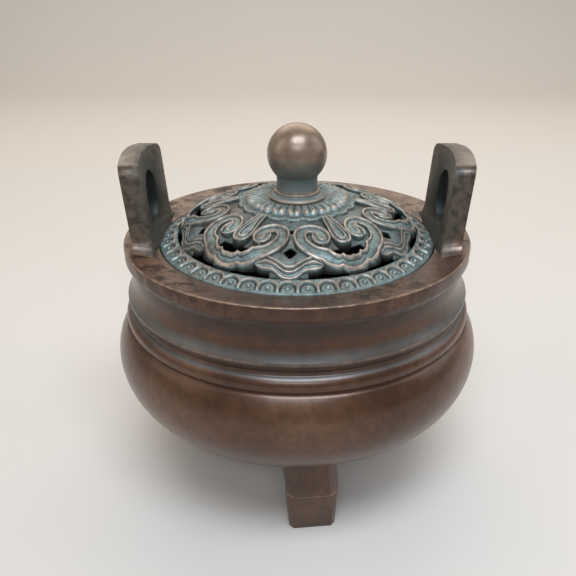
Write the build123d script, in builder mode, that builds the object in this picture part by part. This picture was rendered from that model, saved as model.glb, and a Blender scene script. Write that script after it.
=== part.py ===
"""Lidded tripod incense burner in cast bronze, millimetres, +Z up.

Origin: on the ground at the bowl's axis. The ears stand on the X axis, and the front foot points
towards -Y.
"""
from build123d import *
from math import asin, atan2, cos, degrees, radians, sin, sqrt
import os

os.makedirs("parts", exist_ok=True)

# ---------------------------------------------------------------- driving dimensions
rim_radius = 52.0            # outer radius of the rim
rim_height = 78.5            # rim's outer top edge above the ground
rim_lip = 3.9                # height of the lip's outer face
rim_fall = 1.8               # the rim's top falls this much towards the mouth
rim_edge = 0.4               # broken edge of the rim

wall = 3.6                   # cast wall of the belly
belly_radius = 56.9
belly_height = 43.2          # height of the widest circle
belly_top_arc = 16.8         # radius of the belly's upper arc
belly_low_arc = 19.5         # radius of the belly's lower arc
belly_base_arc = 46.0        # radius of the flatter arc under the belly
belly_turn = 41.6            # slope where the lower arc meets the flatter one, degrees
shoulder_height = 53.7       # where the ring steps down to the belly

neck_radius = 50.3
neck_curve_top = 69.5        # the hollow neck starts to flare below this height
ridge_radius = 52.3
ridge_height = 62.7
groove_radius = 51.2
groove_height = 58.8
ring_radius = 53.3
ring_low_height = 54.3
ring_step = 0.5              # how far the ring steps in under its swell
neck_inside = ((47.2, 62.0), (46.6, 70.5))   # inner face of the neck, radius and height
mouth_lip = 2.6              # height of the mouth's cylinder under the ledge

lid_radius = 41.5            # outer radius of the lid's border
lid_gap = 0.35               # all round between the border and the rim
mouth_radius = 39.9
border_thickness = 2.3
border_inner_radius = 36.4
border_inner_height = 78.5
dome_edge_radius = 34.3
dome_top = 90.2
dome_sphere = 86.3           # radius of the sphere that the dome follows
dome_thickness = 3.6
skirt_outer_radius = 39.5    # locating skirt, 0.4 mm inside the mouth
skirt_inner_radius = 37.3
skirt_depth = 4.0
cloud_turn = -93.5           # direction of the first cloud bracket in plan, degrees
cloud_count = 6
bracket_hole_radius = 29.7   # diamond hole above each bracket, distance from the axis
eye_hole_radius = 22.1       # small round hole between two scrolls
tongue_gap_radius = 31.2     # curved slot in front of each tongue petal
border_slit_radius = 35.6    # crescent slits between the clouds and the border
border_slit_turn = 14.6      # their middle, degrees either side of a bracket

rosette_radius = 17.2
rosette_thickness = 2.0
rosette_lobes = 20
lobe_notch = 1.5             # radius of the notches between the lobes

ball_radius = 8.8
ball_height = 102.1
finial_neck_radius = 6.2
collar_radius = 8.5
collar_height = 2.7
collar_sink = 1.0            # the rosette's seat for the collar lies this far below the dome's sphere
collar_profile = ((6.7, 2.7), (6.9, 1.7), (7.6, 1.5), (8.5, 0.7), (8.0, 0.0))   # radius and height
stud_radius = 2.0
stud_bore = 2.3              # clearance hole for the stud
stud_run = 0.08              # radial clearance that stands in for the thread
stud_tail = 1.5              # stud below the nut
stud_cover = 3.5             # top of the stud below the ball's centre
washer_radius = 5.0
washer_thickness = 1.0
nut_half_width = 3.5
nut_height = 3.2

ear_inner_x = 42.9           # inner face of the ear at mid-width, at the rim's height
ear_half_width = 15.3
ear_thickness = 5.7
ear_rise = 24.6              # ear's top above the rim's edge
ear_corner = 4.0
ear_crown = 1.2              # how far the middle of the top stands above its corners' ends
ear_lean = 4.1               # leans outwards, degrees
ear_plan_radius = 80.0       # the ear is slightly curved in plan
ear_foot_fillet = 5.0
ear_foot_drop = 1.0          # the fillets end this far below the rim's edge
ear_hole_width = 12.0
ear_hole_height = 15.5
ear_hole_rise = 10.8         # hole's centre above the rim's edge

foot_turn = -84.0            # direction of the front foot in plan, degrees
foot_radius = 37.4           # foot's centre from the bowl's axis
foot_base_width = 13.8
foot_ridge_width = 15.6
foot_top_width = 14.2
foot_ridge_height = 12.5
foot_chamfer = 3.0
foot_base_corner = 1.6
foot_ridge_corner = 2.2
foot_ridge_step = 0.8        # the ridge stands out this much over the lower block
foot_taper_height = 16.0     # height over which the upper block narrows
tenon_radius = 3.0
tenon_top = 23.6
tenon_gap = 0.05

mat_top = 31.0
mat_radius = 34.0
stand_radius = 19.0
stand_sheet = 0.8
prong_height = 7.0
prong_count = 3
prong_ring = 9.0
prong_radius = 0.9
coil_wire = 1.3              # radius of the incense stick
coil_pitch = 4.4
coil_half_turns = 8

# ---------------------------------------------------------------- derived values
mouth_seat_radius = lid_radius + lid_gap
seat_top = rim_height - rim_fall
ledge_height = seat_top - border_thickness
dome_centre = dome_top - dome_sphere
top_arc_centre = belly_radius - belly_top_arc
low_arc_centre = belly_radius - belly_low_arc
turn = radians(belly_turn)
low_end = (low_arc_centre + belly_low_arc * sin(turn), belly_height - belly_low_arc * cos(turn))
base_arc_centre = (low_end[0] - belly_base_arc * sin(turn), low_end[1] + belly_base_arc * cos(turn))
belly_bottom = base_arc_centre[1] - belly_base_arc
floor_height = belly_bottom + wall
inner_top = belly_height + 7.3       # the belly's inner curve ends here


def sphere_height(radius, inset=0.0):
    """Height of the dome's sphere at a radius, for a sphere smaller by inset."""
    return dome_centre + sqrt((dome_sphere - inset) ** 2 - radius ** 2)


collar_base = sphere_height(collar_radius) - collar_sink
neck_base = collar_base + collar_height
neck_foot_radius = finial_neck_radius + 0.2


def on_arc(centre, radius, angle):
    """Point of a circle in the profile plane, angle in degrees from +X."""
    return (centre[0] + radius * cos(radians(angle)), centre[1] + radius * sin(radians(angle)))


def belly_curve(inset, top_height):
    """Three tangent arcs of the belly, from top_height down to its flat bottom."""
    top_radius = belly_top_arc - inset
    low_radius = belly_low_arc - inset
    base_radius = belly_base_arc - inset
    start_angle = degrees(asin((top_height - belly_height) / top_radius))
    top_centre = (top_arc_centre, belly_height)
    low_centre = (low_arc_centre, belly_height)
    low_middle = -(90 - belly_turn) / 2
    base_middle = (-90 - (90 - belly_turn)) / 2
    return (
        (on_arc(top_centre, top_radius, start_angle),
         on_arc(top_centre, top_radius, start_angle / 2),
         on_arc(top_centre, top_radius, 0)),
        (on_arc(low_centre, low_radius, 0),
         on_arc(low_centre, low_radius, low_middle),
         on_arc(low_centre, low_radius, -(90 - belly_turn))),
        (on_arc(base_arc_centre, base_radius, -(90 - belly_turn)),
         on_arc(base_arc_centre, base_radius, base_middle),
         on_arc(base_arc_centre, base_radius, -90)),
    )


def save(part, name):
    """Label a finished piece and write its STEP file."""
    part.label = name
    export_step(part, f"parts/{name}.step")


outer_curve = belly_curve(0.0, shoulder_height)
inner_curve = belly_curve(wall, inner_top)

# ---------------------------------------------------------------- bowl
foot_angles = [foot_turn + 120 * step for step in range(3)]

with BuildPart() as bowl:
    with BuildSketch(Plane.XZ):
        with BuildLine():
            neck_flare = ridge_radius - neck_radius
            neck_drop = neck_curve_top - ridge_height
            neck_arc = (neck_drop ** 2 + neck_flare ** 2) / (2 * neck_flare)
            neck_bend = asin(neck_drop / neck_arc) / 2
            neck_middle = (neck_radius + neck_arc * (1 - cos(neck_bend)),
                           neck_curve_top - neck_arc * sin(neck_bend))
            Polyline((mouth_radius, ledge_height), (mouth_seat_radius, ledge_height),
                     (mouth_seat_radius, seat_top), (rim_radius - rim_edge, rim_height),
                     (rim_radius, rim_height - rim_edge), (rim_radius, rim_height - rim_lip),
                     (neck_radius, rim_height - rim_lip - rim_edge), (neck_radius, neck_curve_top))
            ThreePointArc((neck_radius, neck_curve_top), neck_middle, (ridge_radius, ridge_height))
            Polyline((ridge_radius, ridge_height), (ridge_radius - 0.1, ridge_height - 0.7),
                     (groove_radius, groove_height + 0.6), (groove_radius, groove_height))
            ring_middle = (groove_height + ring_low_height) / 2
            ThreePointArc((groove_radius, groove_height), (ring_radius, ring_middle),
                          (ring_radius - ring_step, ring_low_height))
            Polyline((ring_radius - ring_step, ring_low_height), (ring_radius - 0.9, shoulder_height),
                     outer_curve[0][0])
            for points in outer_curve:
                ThreePointArc(*points)
            Polyline(outer_curve[2][2], (0, belly_bottom), (0, floor_height), inner_curve[2][2])
            for points in inner_curve:
                ThreePointArc(*points)
            Polyline(inner_curve[0][0], *neck_inside, (mouth_radius, ledge_height - mouth_lip),
                     (mouth_radius, ledge_height))
        make_face()
    revolve(axis=Axis.Z)
    with BuildSketch(Plane.XY):
        for angle in foot_angles:
            with Locations((foot_radius * cos(radians(angle)), foot_radius * sin(radians(angle)))):
                Circle(tenon_radius + tenon_gap)
    extrude(amount=tenon_top + tenon_gap, mode=Mode.SUBTRACT)
save(bowl.part, "bowl")

# Space under the rim's sloping top, which trims the ears to stand on it.
with BuildPart() as rim_trim:
    with BuildSketch(Plane.XZ):
        slope = rim_fall / (rim_radius - rim_edge - mouth_seat_radius)
        Polygon((20, rim_height - 15), (70, rim_height - 15),
                (70, rim_height + slope * (70 - rim_radius + rim_edge)),
                (20, rim_height + slope * (20 - rim_radius + rim_edge)), align=None)
    revolve(axis=Axis.Z)

# Body of the belly, which trims the feet to fit against it.
with BuildPart() as belly_trim:
    with BuildSketch(Plane.XZ):
        with BuildLine():
            Polyline((0, belly_height), (0, belly_bottom), outer_curve[2][2])
            ThreePointArc(*outer_curve[2])
            ThreePointArc(*outer_curve[1])
            Line(outer_curve[1][0], (0, belly_height))
        make_face()
    revolve(axis=Axis.Z)


# ---------------------------------------------------------------- ears
def make_ear(side):
    """Upright loop ear; side is 1 for +X and -1 for -X."""
    top = ear_rise - ear_crown
    flare = ear_foot_fillet
    low = -4.0
    width = ear_half_width
    bend = sqrt(0.5)
    plate = Plane(origin=(side * (ear_inner_x - ear_plan_radius), 0, rim_height),
                  x_dir=(cos(radians(ear_lean)), 0, -side * sin(radians(ear_lean))),
                  z_dir=(side * sin(radians(ear_lean)), 0, cos(radians(ear_lean))))
    with BuildPart() as ear:
        with BuildSketch(Plane.YZ.offset(side * 36)):
            with BuildLine():
                base = rim_height
                foot = rim_height - ear_foot_drop
                corner = ear_corner
                Polyline((-width - flare, foot), (-width - flare, base + low),
                         (width + flare, base + low), (width + flare, foot))
                ThreePointArc((width + flare, foot),
                              (width + flare * (1 - bend), foot + flare * (1 - bend)),
                              (width, foot + flare))
                Line((width, foot + flare), (width, base + top - corner))
                ThreePointArc((width, base + top - corner),
                              (width - corner * (1 - bend), base + top - corner * (1 - bend)),
                              (width - corner, base + top))
                ThreePointArc((width - corner, base + top), (0, base + ear_rise),
                              (corner - width, base + top))
                ThreePointArc((corner - width, base + top),
                              (corner * (1 - bend) - width, base + top - corner * (1 - bend)),
                              (-width, base + top - corner))
                Line((-width, base + top - corner), (-width, foot + flare))
                ThreePointArc((-width, foot + flare),
                              (-width - flare * (1 - bend), foot + flare * (1 - bend)),
                              (-width - flare, foot))
            make_face()
            with Locations((0, rim_height + ear_hole_rise)):
                SlotOverall(ear_hole_height, ear_hole_width, rotation=90, mode=Mode.SUBTRACT)
        extrude(amount=side * 20)
        with BuildSketch(plate.offset(-12)):
            Circle(ear_plan_radius + ear_thickness)
            Circle(ear_plan_radius, mode=Mode.SUBTRACT)
        extrude(amount=50, mode=Mode.INTERSECT)
        add(rim_trim.part, mode=Mode.SUBTRACT)
    return ear.part


for side, name in ((-1, "left_ear"), (1, "right_ear")):
    save(make_ear(side), name)


# ---------------------------------------------------------------- feet
def make_foot(angle):
    """Square foot, widest at its ridge, with a chamfered upper block and a tenon."""
    spot = Plane(origin=(foot_radius * cos(radians(angle)), foot_radius * sin(radians(angle)), 0),
                 x_dir=(cos(radians(angle)), sin(radians(angle)), 0), z_dir=(0, 0, 1))
    with BuildPart() as foot:
        with BuildSketch(spot):
            RectangleRounded(foot_base_width, foot_base_width, foot_base_corner)
        with BuildSketch(spot.offset(foot_ridge_height)):
            block_width = foot_ridge_width - foot_ridge_step
            RectangleRounded(block_width, block_width, foot_ridge_corner)
        loft()
        with BuildSketch(spot.offset(foot_ridge_height)):
            chamfered = Rectangle(foot_ridge_width, foot_ridge_width)
            chamfer(chamfered.vertices(), foot_chamfer)
        with BuildSketch(spot.offset(foot_ridge_height + foot_taper_height)):
            chamfered = Rectangle(foot_top_width, foot_top_width)
            chamfer(chamfered.vertices(), foot_chamfer)
        loft()
        add(belly_trim.part, mode=Mode.SUBTRACT)
        with BuildSketch(spot.offset(foot_ridge_height)):
            Circle(tenon_radius)
        extrude(amount=tenon_top - foot_ridge_height)
    return foot.part


for angle, name in zip(foot_angles, ("front_foot", "rear_right_foot", "rear_left_foot")):
    save(make_foot(angle), name)

# ---------------------------------------------------------------- lid
cloud_angles = [cloud_turn + 360 / cloud_count * step for step in range(cloud_count)]


def polar(radius, angle):
    """Plan position at a radius and an angle in degrees."""
    return (radius * cos(radians(angle)), radius * sin(radians(angle)))


with BuildPart() as lid_plate:
    with BuildSketch(Plane.XZ):
        with BuildLine():
            seat_edge = rosette_radius + 0.3
            half = seat_edge / 2
            under_edge = dome_edge_radius - 1.6
            Polyline((stud_bore, sphere_height(stud_bore, dome_thickness)),
                     (stud_bore, sphere_height(stud_bore, rosette_thickness)))
            ThreePointArc((stud_bore, sphere_height(stud_bore, rosette_thickness)),
                          (half, sphere_height(half, rosette_thickness)),
                          (seat_edge, sphere_height(seat_edge, rosette_thickness)))
            Line((seat_edge, sphere_height(seat_edge, rosette_thickness)),
                 (seat_edge, sphere_height(seat_edge)))
            ThreePointArc((seat_edge, sphere_height(seat_edge)), (26, sphere_height(26)),
                          (dome_edge_radius, sphere_height(dome_edge_radius)))
            Polyline((dome_edge_radius, sphere_height(dome_edge_radius)),
                     (dome_edge_radius + 0.8, border_inner_height),
                     (border_inner_radius, border_inner_height), (lid_radius, seat_top),
                     (lid_radius, ledge_height), (skirt_inner_radius, ledge_height),
                     (under_edge, ledge_height + 1.4),
                     (under_edge, sphere_height(under_edge, dome_thickness)))
            ThreePointArc((under_edge, sphere_height(under_edge, dome_thickness)),
                          (half, sphere_height(half, dome_thickness)),
                          (stud_bore, sphere_height(stud_bore, dome_thickness)))
        make_face()
    revolve(axis=Axis.Z)
    with BuildSketch(Plane.XY.offset(ledge_height - 1)):
        for angle in cloud_angles:
            with Locations(polar(bracket_hole_radius, angle)):
                RegularPolygon(2.4, 4, rotation=angle)
            with Locations(polar(eye_hole_radius, angle)):
                Circle(0.8)
            for turn_side in (-1, 1):
                slit_start = angle + turn_side * border_slit_turn - 6
                SlotArc(CenterArc((0, 0), border_slit_radius, slit_start, 12), 1.5)
            SlotArc(CenterArc((0, 0), tongue_gap_radius, angle + 30 - 6, 12), 2.6)
    extrude(amount=20, mode=Mode.SUBTRACT)
save(lid_plate.part, "lid_plate")

with BuildPart() as lid_skirt:
    with BuildSketch(Plane.XY.offset(ledge_height - skirt_depth)):
        Circle(skirt_outer_radius)
        Circle(skirt_inner_radius, mode=Mode.SUBTRACT)
    extrude(amount=skirt_depth)
    chamfer(lid_skirt.edges().group_by(Axis.Z)[0], 0.4)
save(lid_skirt.part, "lid_skirt")

with BuildPart() as petal_rosette:
    with BuildSketch(Plane.XZ):
        with BuildLine():
            seat_rim = (collar_radius + collar_sink, sphere_height(collar_radius + collar_sink))
            Polyline((stud_bore, sphere_height(stud_bore, rosette_thickness)), (stud_bore, collar_base),
                     (collar_radius, collar_base), seat_rim)
            ThreePointArc(seat_rim, (13, sphere_height(13)),
                          (rosette_radius, sphere_height(rosette_radius)))
            Line((rosette_radius, sphere_height(rosette_radius)),
                 (rosette_radius, sphere_height(rosette_radius, rosette_thickness)))
            ThreePointArc((rosette_radius, sphere_height(rosette_radius, rosette_thickness)),
                          (9, sphere_height(9, rosette_thickness)),
                          (stud_bore, sphere_height(stud_bore, rosette_thickness)))
        make_face()
    revolve(axis=Axis.Z)
    with BuildSketch(Plane.XY.offset(dome_top - 6)):
        with PolarLocations(rosette_radius + lobe_notch * 0.6, rosette_lobes, start_angle=10):
            Circle(lobe_notch)
    extrude(amount=10, mode=Mode.SUBTRACT)
save(petal_rosette.part, "petal_rosette")

# ---------------------------------------------------------------- finial and its fastening
neck_top = ball_height - sqrt(ball_radius ** 2 - finial_neck_radius ** 2)
stud_top = ball_height - stud_cover

with BuildPart() as finial_collar:
    with BuildSketch(Plane.XZ):
        with BuildLine():
            rings = [(radius, collar_base + height) for radius, height in collar_profile]
            Polyline((stud_bore, collar_base), (stud_bore, neck_base), *rings[:3])
            ThreePointArc(*rings[2:])
            Line(rings[-1], (stud_bore, collar_base))
        make_face()
    revolve(axis=Axis.Z)
save(finial_collar.part, "finial_collar")

with BuildPart() as finial:
    with BuildSketch(Plane.XZ):
        with BuildLine():
            Polyline((0, ball_height + ball_radius), (0, stud_top), (stud_radius, stud_top),
                     (stud_radius, neck_base), (neck_foot_radius, neck_base))
            ThreePointArc((neck_foot_radius, neck_base),
                          (finial_neck_radius - 0.15, (neck_base + neck_top) / 2),
                          (finial_neck_radius, neck_top))
            ThreePointArc((finial_neck_radius, neck_top), (ball_radius, ball_height),
                          (0, ball_height + ball_radius))
        make_face()
    revolve(axis=Axis.Z)
save(finial.part, "finial")

washer_top = sphere_height(washer_radius, dome_thickness)
stud_low = washer_top - washer_thickness - nut_height - stud_tail

with BuildPart() as finial_stud:
    with BuildSketch(Plane.XY.offset(stud_low)):
        Circle(stud_radius)
    extrude(amount=stud_top - stud_low)
    chamfer(finial_stud.edges().sort_by(Axis.Z)[0], 0.4)
save(finial_stud.part, "finial_stud")

with BuildPart() as finial_washer:
    with BuildSketch(Plane.XY.offset(washer_top - washer_thickness)):
        Circle(washer_radius)
        Circle(stud_radius + stud_run, mode=Mode.SUBTRACT)
    extrude(amount=washer_thickness)
save(finial_washer.part, "finial_washer")

with BuildPart() as finial_nut:
    with BuildSketch(Plane.XY.offset(washer_top - washer_thickness - nut_height)):
        RegularPolygon(nut_half_width, 6, major_radius=False)
        Circle(stud_radius + stud_run, mode=Mode.SUBTRACT)
    extrude(amount=nut_height)
save(finial_nut.part, "finial_nut")

# ---------------------------------------------------------------- inside the bowl
with BuildPart() as fibre_mat:
    with BuildSketch(Plane.XZ):
        with BuildLine():
            mat_arc = belly_base_arc - wall - 0.3
            mat_edge = -degrees(atan2(sqrt(mat_arc ** 2 - (mat_radius - base_arc_centre[0]) ** 2),
                                      mat_radius - base_arc_centre[0]))
            mat_low = on_arc(base_arc_centre, mat_arc, -90)
            mat_side = on_arc(base_arc_centre, mat_arc, mat_edge)
            ThreePointArc(mat_low, on_arc(base_arc_centre, mat_arc, (mat_edge - 90) / 2), mat_side)
            Polyline(mat_side, (mat_radius, mat_top), (0, mat_top), (0, floor_height),
                     (mat_low[0], floor_height), mat_low)
        make_face()
    revolve(axis=Axis.Z)
save(fibre_mat.part, "fibre_mat")

with BuildPart() as stand_dish:
    with BuildSketch(Plane.XZ):
        with BuildLine():
            Polyline((0, mat_top), (stand_radius - 3, mat_top), (stand_radius, mat_top + 3),
                     (stand_radius - stand_sheet, mat_top + 3),
                     (stand_radius - 3 - stand_sheet / 2, mat_top + stand_sheet),
                     (0, mat_top + stand_sheet), (0, mat_top))
        make_face()
    revolve(axis=Axis.Z)
save(stand_dish.part, "stand_dish")

with BuildPart() as stand_prongs:
    with BuildSketch(Plane.XY.offset(mat_top + stand_sheet)):
        with PolarLocations(prong_ring, prong_count, start_angle=90):
            Circle(prong_radius)
    extrude(amount=prong_height)
save(stand_prongs.part, "stand_prongs")

coil_height = mat_top + stand_sheet + prong_height + coil_wire

with BuildPart() as incense_coil:
    with BuildLine() as coil_path:
        for half_turn in range(coil_half_turns):
            side = 1 if half_turn % 2 == 0 else -1
            radius = coil_pitch * (half_turn + 2) / 2
            middle = 0 if half_turn % 2 == 0 else coil_pitch / 2
            ThreePointArc((middle + side * radius, 0, coil_height), (middle, side * radius, coil_height),
                          (middle - side * radius, 0, coil_height))
    with BuildSketch(Plane(coil_path.line @ 0, z_dir=coil_path.line % 0)):
        Circle(coil_wire)
    sweep()
save(incense_coil.part, "incense_coil")
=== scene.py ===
"""Lidded tripod incense burner in patinated cast bronze: its visible pieces, built round the frame."""
import math
import bmesh
import bpy
from mathutils import Matrix, Vector, noise


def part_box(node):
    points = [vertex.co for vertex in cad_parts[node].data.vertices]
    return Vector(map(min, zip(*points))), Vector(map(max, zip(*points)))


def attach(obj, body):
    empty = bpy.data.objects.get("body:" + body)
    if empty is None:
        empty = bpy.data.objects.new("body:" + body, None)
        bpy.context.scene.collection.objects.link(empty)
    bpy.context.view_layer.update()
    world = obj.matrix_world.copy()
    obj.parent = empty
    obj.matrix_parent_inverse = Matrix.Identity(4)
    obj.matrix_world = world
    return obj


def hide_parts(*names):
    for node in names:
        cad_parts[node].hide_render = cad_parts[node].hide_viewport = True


bl_info = {
    "name": "Bronze incense burner",
    "version": (1, 0, 0),
    "blender": (4, 5, 0),
    "location": "3D View > Sidebar > Burner",
    "description": "Builds a lidded tripod burner with a pierced cloud-scroll lid",
    "category": "Object",
}

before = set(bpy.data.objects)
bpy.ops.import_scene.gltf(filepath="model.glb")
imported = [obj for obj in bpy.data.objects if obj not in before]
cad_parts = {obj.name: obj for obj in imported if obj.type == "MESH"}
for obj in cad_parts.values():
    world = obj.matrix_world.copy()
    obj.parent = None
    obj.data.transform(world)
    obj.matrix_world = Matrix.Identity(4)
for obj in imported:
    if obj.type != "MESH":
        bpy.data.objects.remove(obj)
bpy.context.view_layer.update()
MM = 0.001

# Places and sizes that the frame gives, in metres.
RIM_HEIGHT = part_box("bowl")[1].z
LEDGE_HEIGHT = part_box("lid_plate")[0].z
LID_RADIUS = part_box("lid_plate")[1].x
COLLAR_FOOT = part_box("finial_collar")[0].z
NECK_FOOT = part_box("finial")[0].z
BALL_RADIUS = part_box("finial")[1].x
BALL_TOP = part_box("finial")[1].z
MAT_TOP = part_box("fibre_mat")[1].z
WASHER_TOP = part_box("finial_washer")[1].z

# Lid, in metres.
UNIT = 52 * MM              # the rim's radius, in which the lid's ornament is laid out
RIM_FALL = 1.8 * MM         # how far the rim slopes down to the mouth
DOME_SPHERE = 86.3 * MM
DOME_CENTRE = 3.9 * MM      # height of the sphere's centre
DOME_THICKNESS = 3.6 * MM
BORDER_RADIUS = 36.4 * MM   # where the clouds end and the border starts
BORDER_HEIGHT = 78.5 * MM
SHOULDER_START = 31.2 * MM  # the cloud layer rounds down outside this radius
SHOULDER_BEND = 122.0       # how fast, per metre
CLOUD_TURN = math.radians(-93.5)

# Bowl, ears and feet, in millimetres.
RIM_RADIUS = 52.0
MOUTH_RADIUS = 41.85
RIM_WIDTH = RIM_RADIUS - MOUTH_RADIUS
WALL = 3.6
BELLY_ARC_TURN = math.radians(41.6)  # where the belly's lower side arc meets its underside arc
BELLY_ARC_HEIGHT = 43.2
BELLY_LOWER_ARC = 19.5
BELLY_UNDER_ARC = 46.0
BELLY_LOWER_CENTRE = 37.4
BELLY_UNDER_CENTRE = BELLY_LOWER_CENTRE - (BELLY_UNDER_ARC - BELLY_LOWER_ARC) * math.sin(BELLY_ARC_TURN)
BELLY_UNDER_HEIGHT = BELLY_ARC_HEIGHT + (BELLY_UNDER_ARC - BELLY_LOWER_ARC) * math.cos(BELLY_ARC_TURN)
FOOT_CIRCLE = 37.4
FOOT_DIRECTIONS = {"front_foot": -84, "rear_right_foot": 36, "rear_left_foot": 156}
EAR_INSIDE = 42.9           # from the burner's axis to the ear's inner face, at the rim
EAR_THICKNESS = 5.7
EAR_HALF_WIDTH = 15.3
EAR_RISE = 24.6
EAR_FLARE = 5.0
EAR_LEAN = math.tan(math.radians(4.1))
EAR_CURVE = 160             # the ear's plan is x = y * y / this


# ------------------------------------------------------------------ small helpers
def linear(code):
    """Turns an sRGB hex colour into linear RGBA."""
    values = [int(code[i:i + 2], 16) / 255 for i in (0, 2, 4)]
    return (*[v / 12.92 if v <= 0.04045 else ((v + 0.055) / 1.055) ** 2.4 for v in values], 1.0)


def node(tree, kind, links=None, values=None, **settings):
    """Adds one node, sets its properties and input values, and links its inputs."""
    made = tree.nodes.new(kind)
    for key, value in settings.items():
        setattr(made, key, value)
    for key, value in (values or {}).items():
        made.inputs[key].default_value = value
    for key, source in (links or {}).items():
        tree.links.new(source, made.inputs[key])
    return made


def arc(start, middle, end, steps=16):
    """Points of the circle through three points, without the last one."""
    (ax, ay), (bx, by), (cx, cy) = start, middle, end
    d = 2 * (ax * (by - cy) + bx * (cy - ay) + cx * (ay - by))
    ux = ((ax * ax + ay * ay) * (by - cy) + (bx * bx + by * by) * (cy - ay)
          + (cx * cx + cy * cy) * (ay - by)) / d
    uy = ((ax * ax + ay * ay) * (cx - bx) + (bx * bx + by * by) * (ax - cx)
          + (cx * cx + cy * cy) * (bx - ax)) / d
    radius = math.hypot(ax - ux, ay - uy)
    first = math.atan2(ay - uy, ax - ux)
    last = math.atan2(cy - uy, cx - ux)
    clockwise = (bx - ax) * (cy - ay) - (by - ay) * (cx - ax) < 0
    sweep = last - first
    if clockwise and sweep > 0:
        sweep -= math.tau
    if not clockwise and sweep < 0:
        sweep += math.tau
    return [(ux + radius * math.cos(first + sweep * i / steps),
             uy + radius * math.sin(first + sweep * i / steps)) for i in range(steps)]


def rounded(corners, steps=5):
    """Polyline through (x, y, fillet radius) corners, with each corner rounded."""
    points = []
    for i, (x, y, radius) in enumerate(corners):
        here = Vector((x, y))
        if radius <= 0 or i in (0, len(corners) - 1):
            points.append((x, y))
            continue
        back = Vector(corners[i - 1][:2]) - here
        ahead = Vector(corners[i + 1][:2]) - here
        turn = back.angle(ahead)
        reach = min(radius / math.tan(turn / 2), back.length * 0.49, ahead.length * 0.49)
        start = here + back.normalized() * reach
        end = here + ahead.normalized() * reach
        for step in range(steps + 1):
            t = step / steps
            p = start * (1 - t) ** 2 + here * 2 * t * (1 - t) + end * t ** 2
            points.append((p.x, p.y))
    return points


def smooth_path(points, steps=8):
    """Catmull-Rom curve through points, ends included."""
    ghost = [tuple(2 * a - b for a, b in zip(points[0], points[1]))]
    tail = [tuple(2 * a - b for a, b in zip(points[-1], points[-2]))]
    p = ghost + list(points) + tail
    made = []
    for i in range(1, len(p) - 2):
        for step in range(steps):
            t = step / steps
            made.append(tuple(
                0.5 * (2 * b + (c - a) * t + (2 * a - 5 * b + 4 * c - d) * t * t
                       + (3 * b - a - 3 * c + d) * t ** 3)
                for a, b, c, d in zip(p[i - 1], p[i], p[i + 1], p[i + 2])))
    made.append(tuple(points[-1]))
    return made


def even_points(points, count):
    """Evenly spaced points along the smooth curve through the given ones."""
    dense = smooth_path(points, 12)
    reached = [0.0]
    for a, b in zip(dense, dense[1:]):
        reached.append(reached[-1] + math.dist(a, b))
    made, k = [], 0
    for i in range(count + 1):
        want = reached[-1] * i / count
        while k < len(dense) - 2 and reached[k + 1] < want:
            k += 1
        t = (want - reached[k]) / max(reached[k + 1] - reached[k], 1e-9)
        made.append(tuple(a + (b - a) * t for a, b in zip(dense[k], dense[k + 1])))
    return made


def add_attributes(mesh, attributes):
    """Stores float values on a mesh's points."""
    for key, values in attributes.items():
        mesh.attributes.new(key, "FLOAT", "POINT").data.foreach_set("value", values)


def smooth_faces(mesh):
    """Shades all faces smooth."""
    mesh.polygons.foreach_set("use_smooth", [True] * len(mesh.polygons))


def link_object(name, data):
    """Object for a mesh, light or camera, in the scene's collection."""
    made = bpy.data.objects.new(name, data)
    bpy.context.scene.collection.objects.link(made)
    return made


def new_object(name, vertices, faces, attributes):
    """Smooth mesh object at the origin, with float attributes on its points."""
    mesh = bpy.data.meshes.new(name)
    mesh.from_pydata([tuple(v) for v in vertices], [], faces)
    add_attributes(mesh, attributes)
    smooth_faces(mesh)
    mesh.update()
    return link_object(name, mesh)


def from_bmesh(name, work):
    """Object made from a bmesh, which is freed."""
    mesh = bpy.data.meshes.new(name)
    work.to_mesh(mesh)
    work.free()
    return link_object(name, mesh)


def ring_faces(rings, wide):
    """Faces between neighbouring closed rings of points."""
    faces = []
    for k in range(rings - 1):
        for i in range(wide):
            n = (i + 1) % wide
            faces.append((k * wide + i, k * wide + n, (k + 1) * wide + n, (k + 1) * wide + i))
    return faces


def outward(obj, reach=1e-6):
    """Merges doubles and turns all faces outwards."""
    work = bmesh.new()
    work.from_mesh(obj.data)
    bmesh.ops.remove_doubles(work, verts=work.verts, dist=reach)
    bmesh.ops.recalc_face_normals(work, faces=work.faces)
    work.to_mesh(obj.data)
    work.free()
    obj.data.update()
    return obj


def apply_modifiers(obj):
    """Bakes an object's modifiers into a plain mesh."""
    bpy.context.view_layer.update()
    evaluated = obj.evaluated_get(bpy.context.evaluated_depsgraph_get())
    mesh = bpy.data.meshes.new_from_object(evaluated)
    obj.modifiers.clear()
    old = obj.data
    obj.data = mesh
    mesh.name = obj.name
    bpy.data.meshes.remove(old)


def round_edges(obj, width_mm, over_degrees):
    """Rounds the edges that are sharper than an angle."""
    bevel = obj.modifiers.new("edge", "BEVEL")
    bevel.width = width_mm * MM
    bevel.segments = 3
    bevel.limit_method = "ANGLE"
    bevel.angle_limit = math.radians(over_degrees)
    apply_modifiers(obj)


def smooth_but(obj, over_degrees):
    """Smooth shading, except across edges that are sharper than an angle."""
    smooth_faces(obj.data)
    obj.data.set_sharp_from_angle(angle=math.radians(over_degrees))


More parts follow.
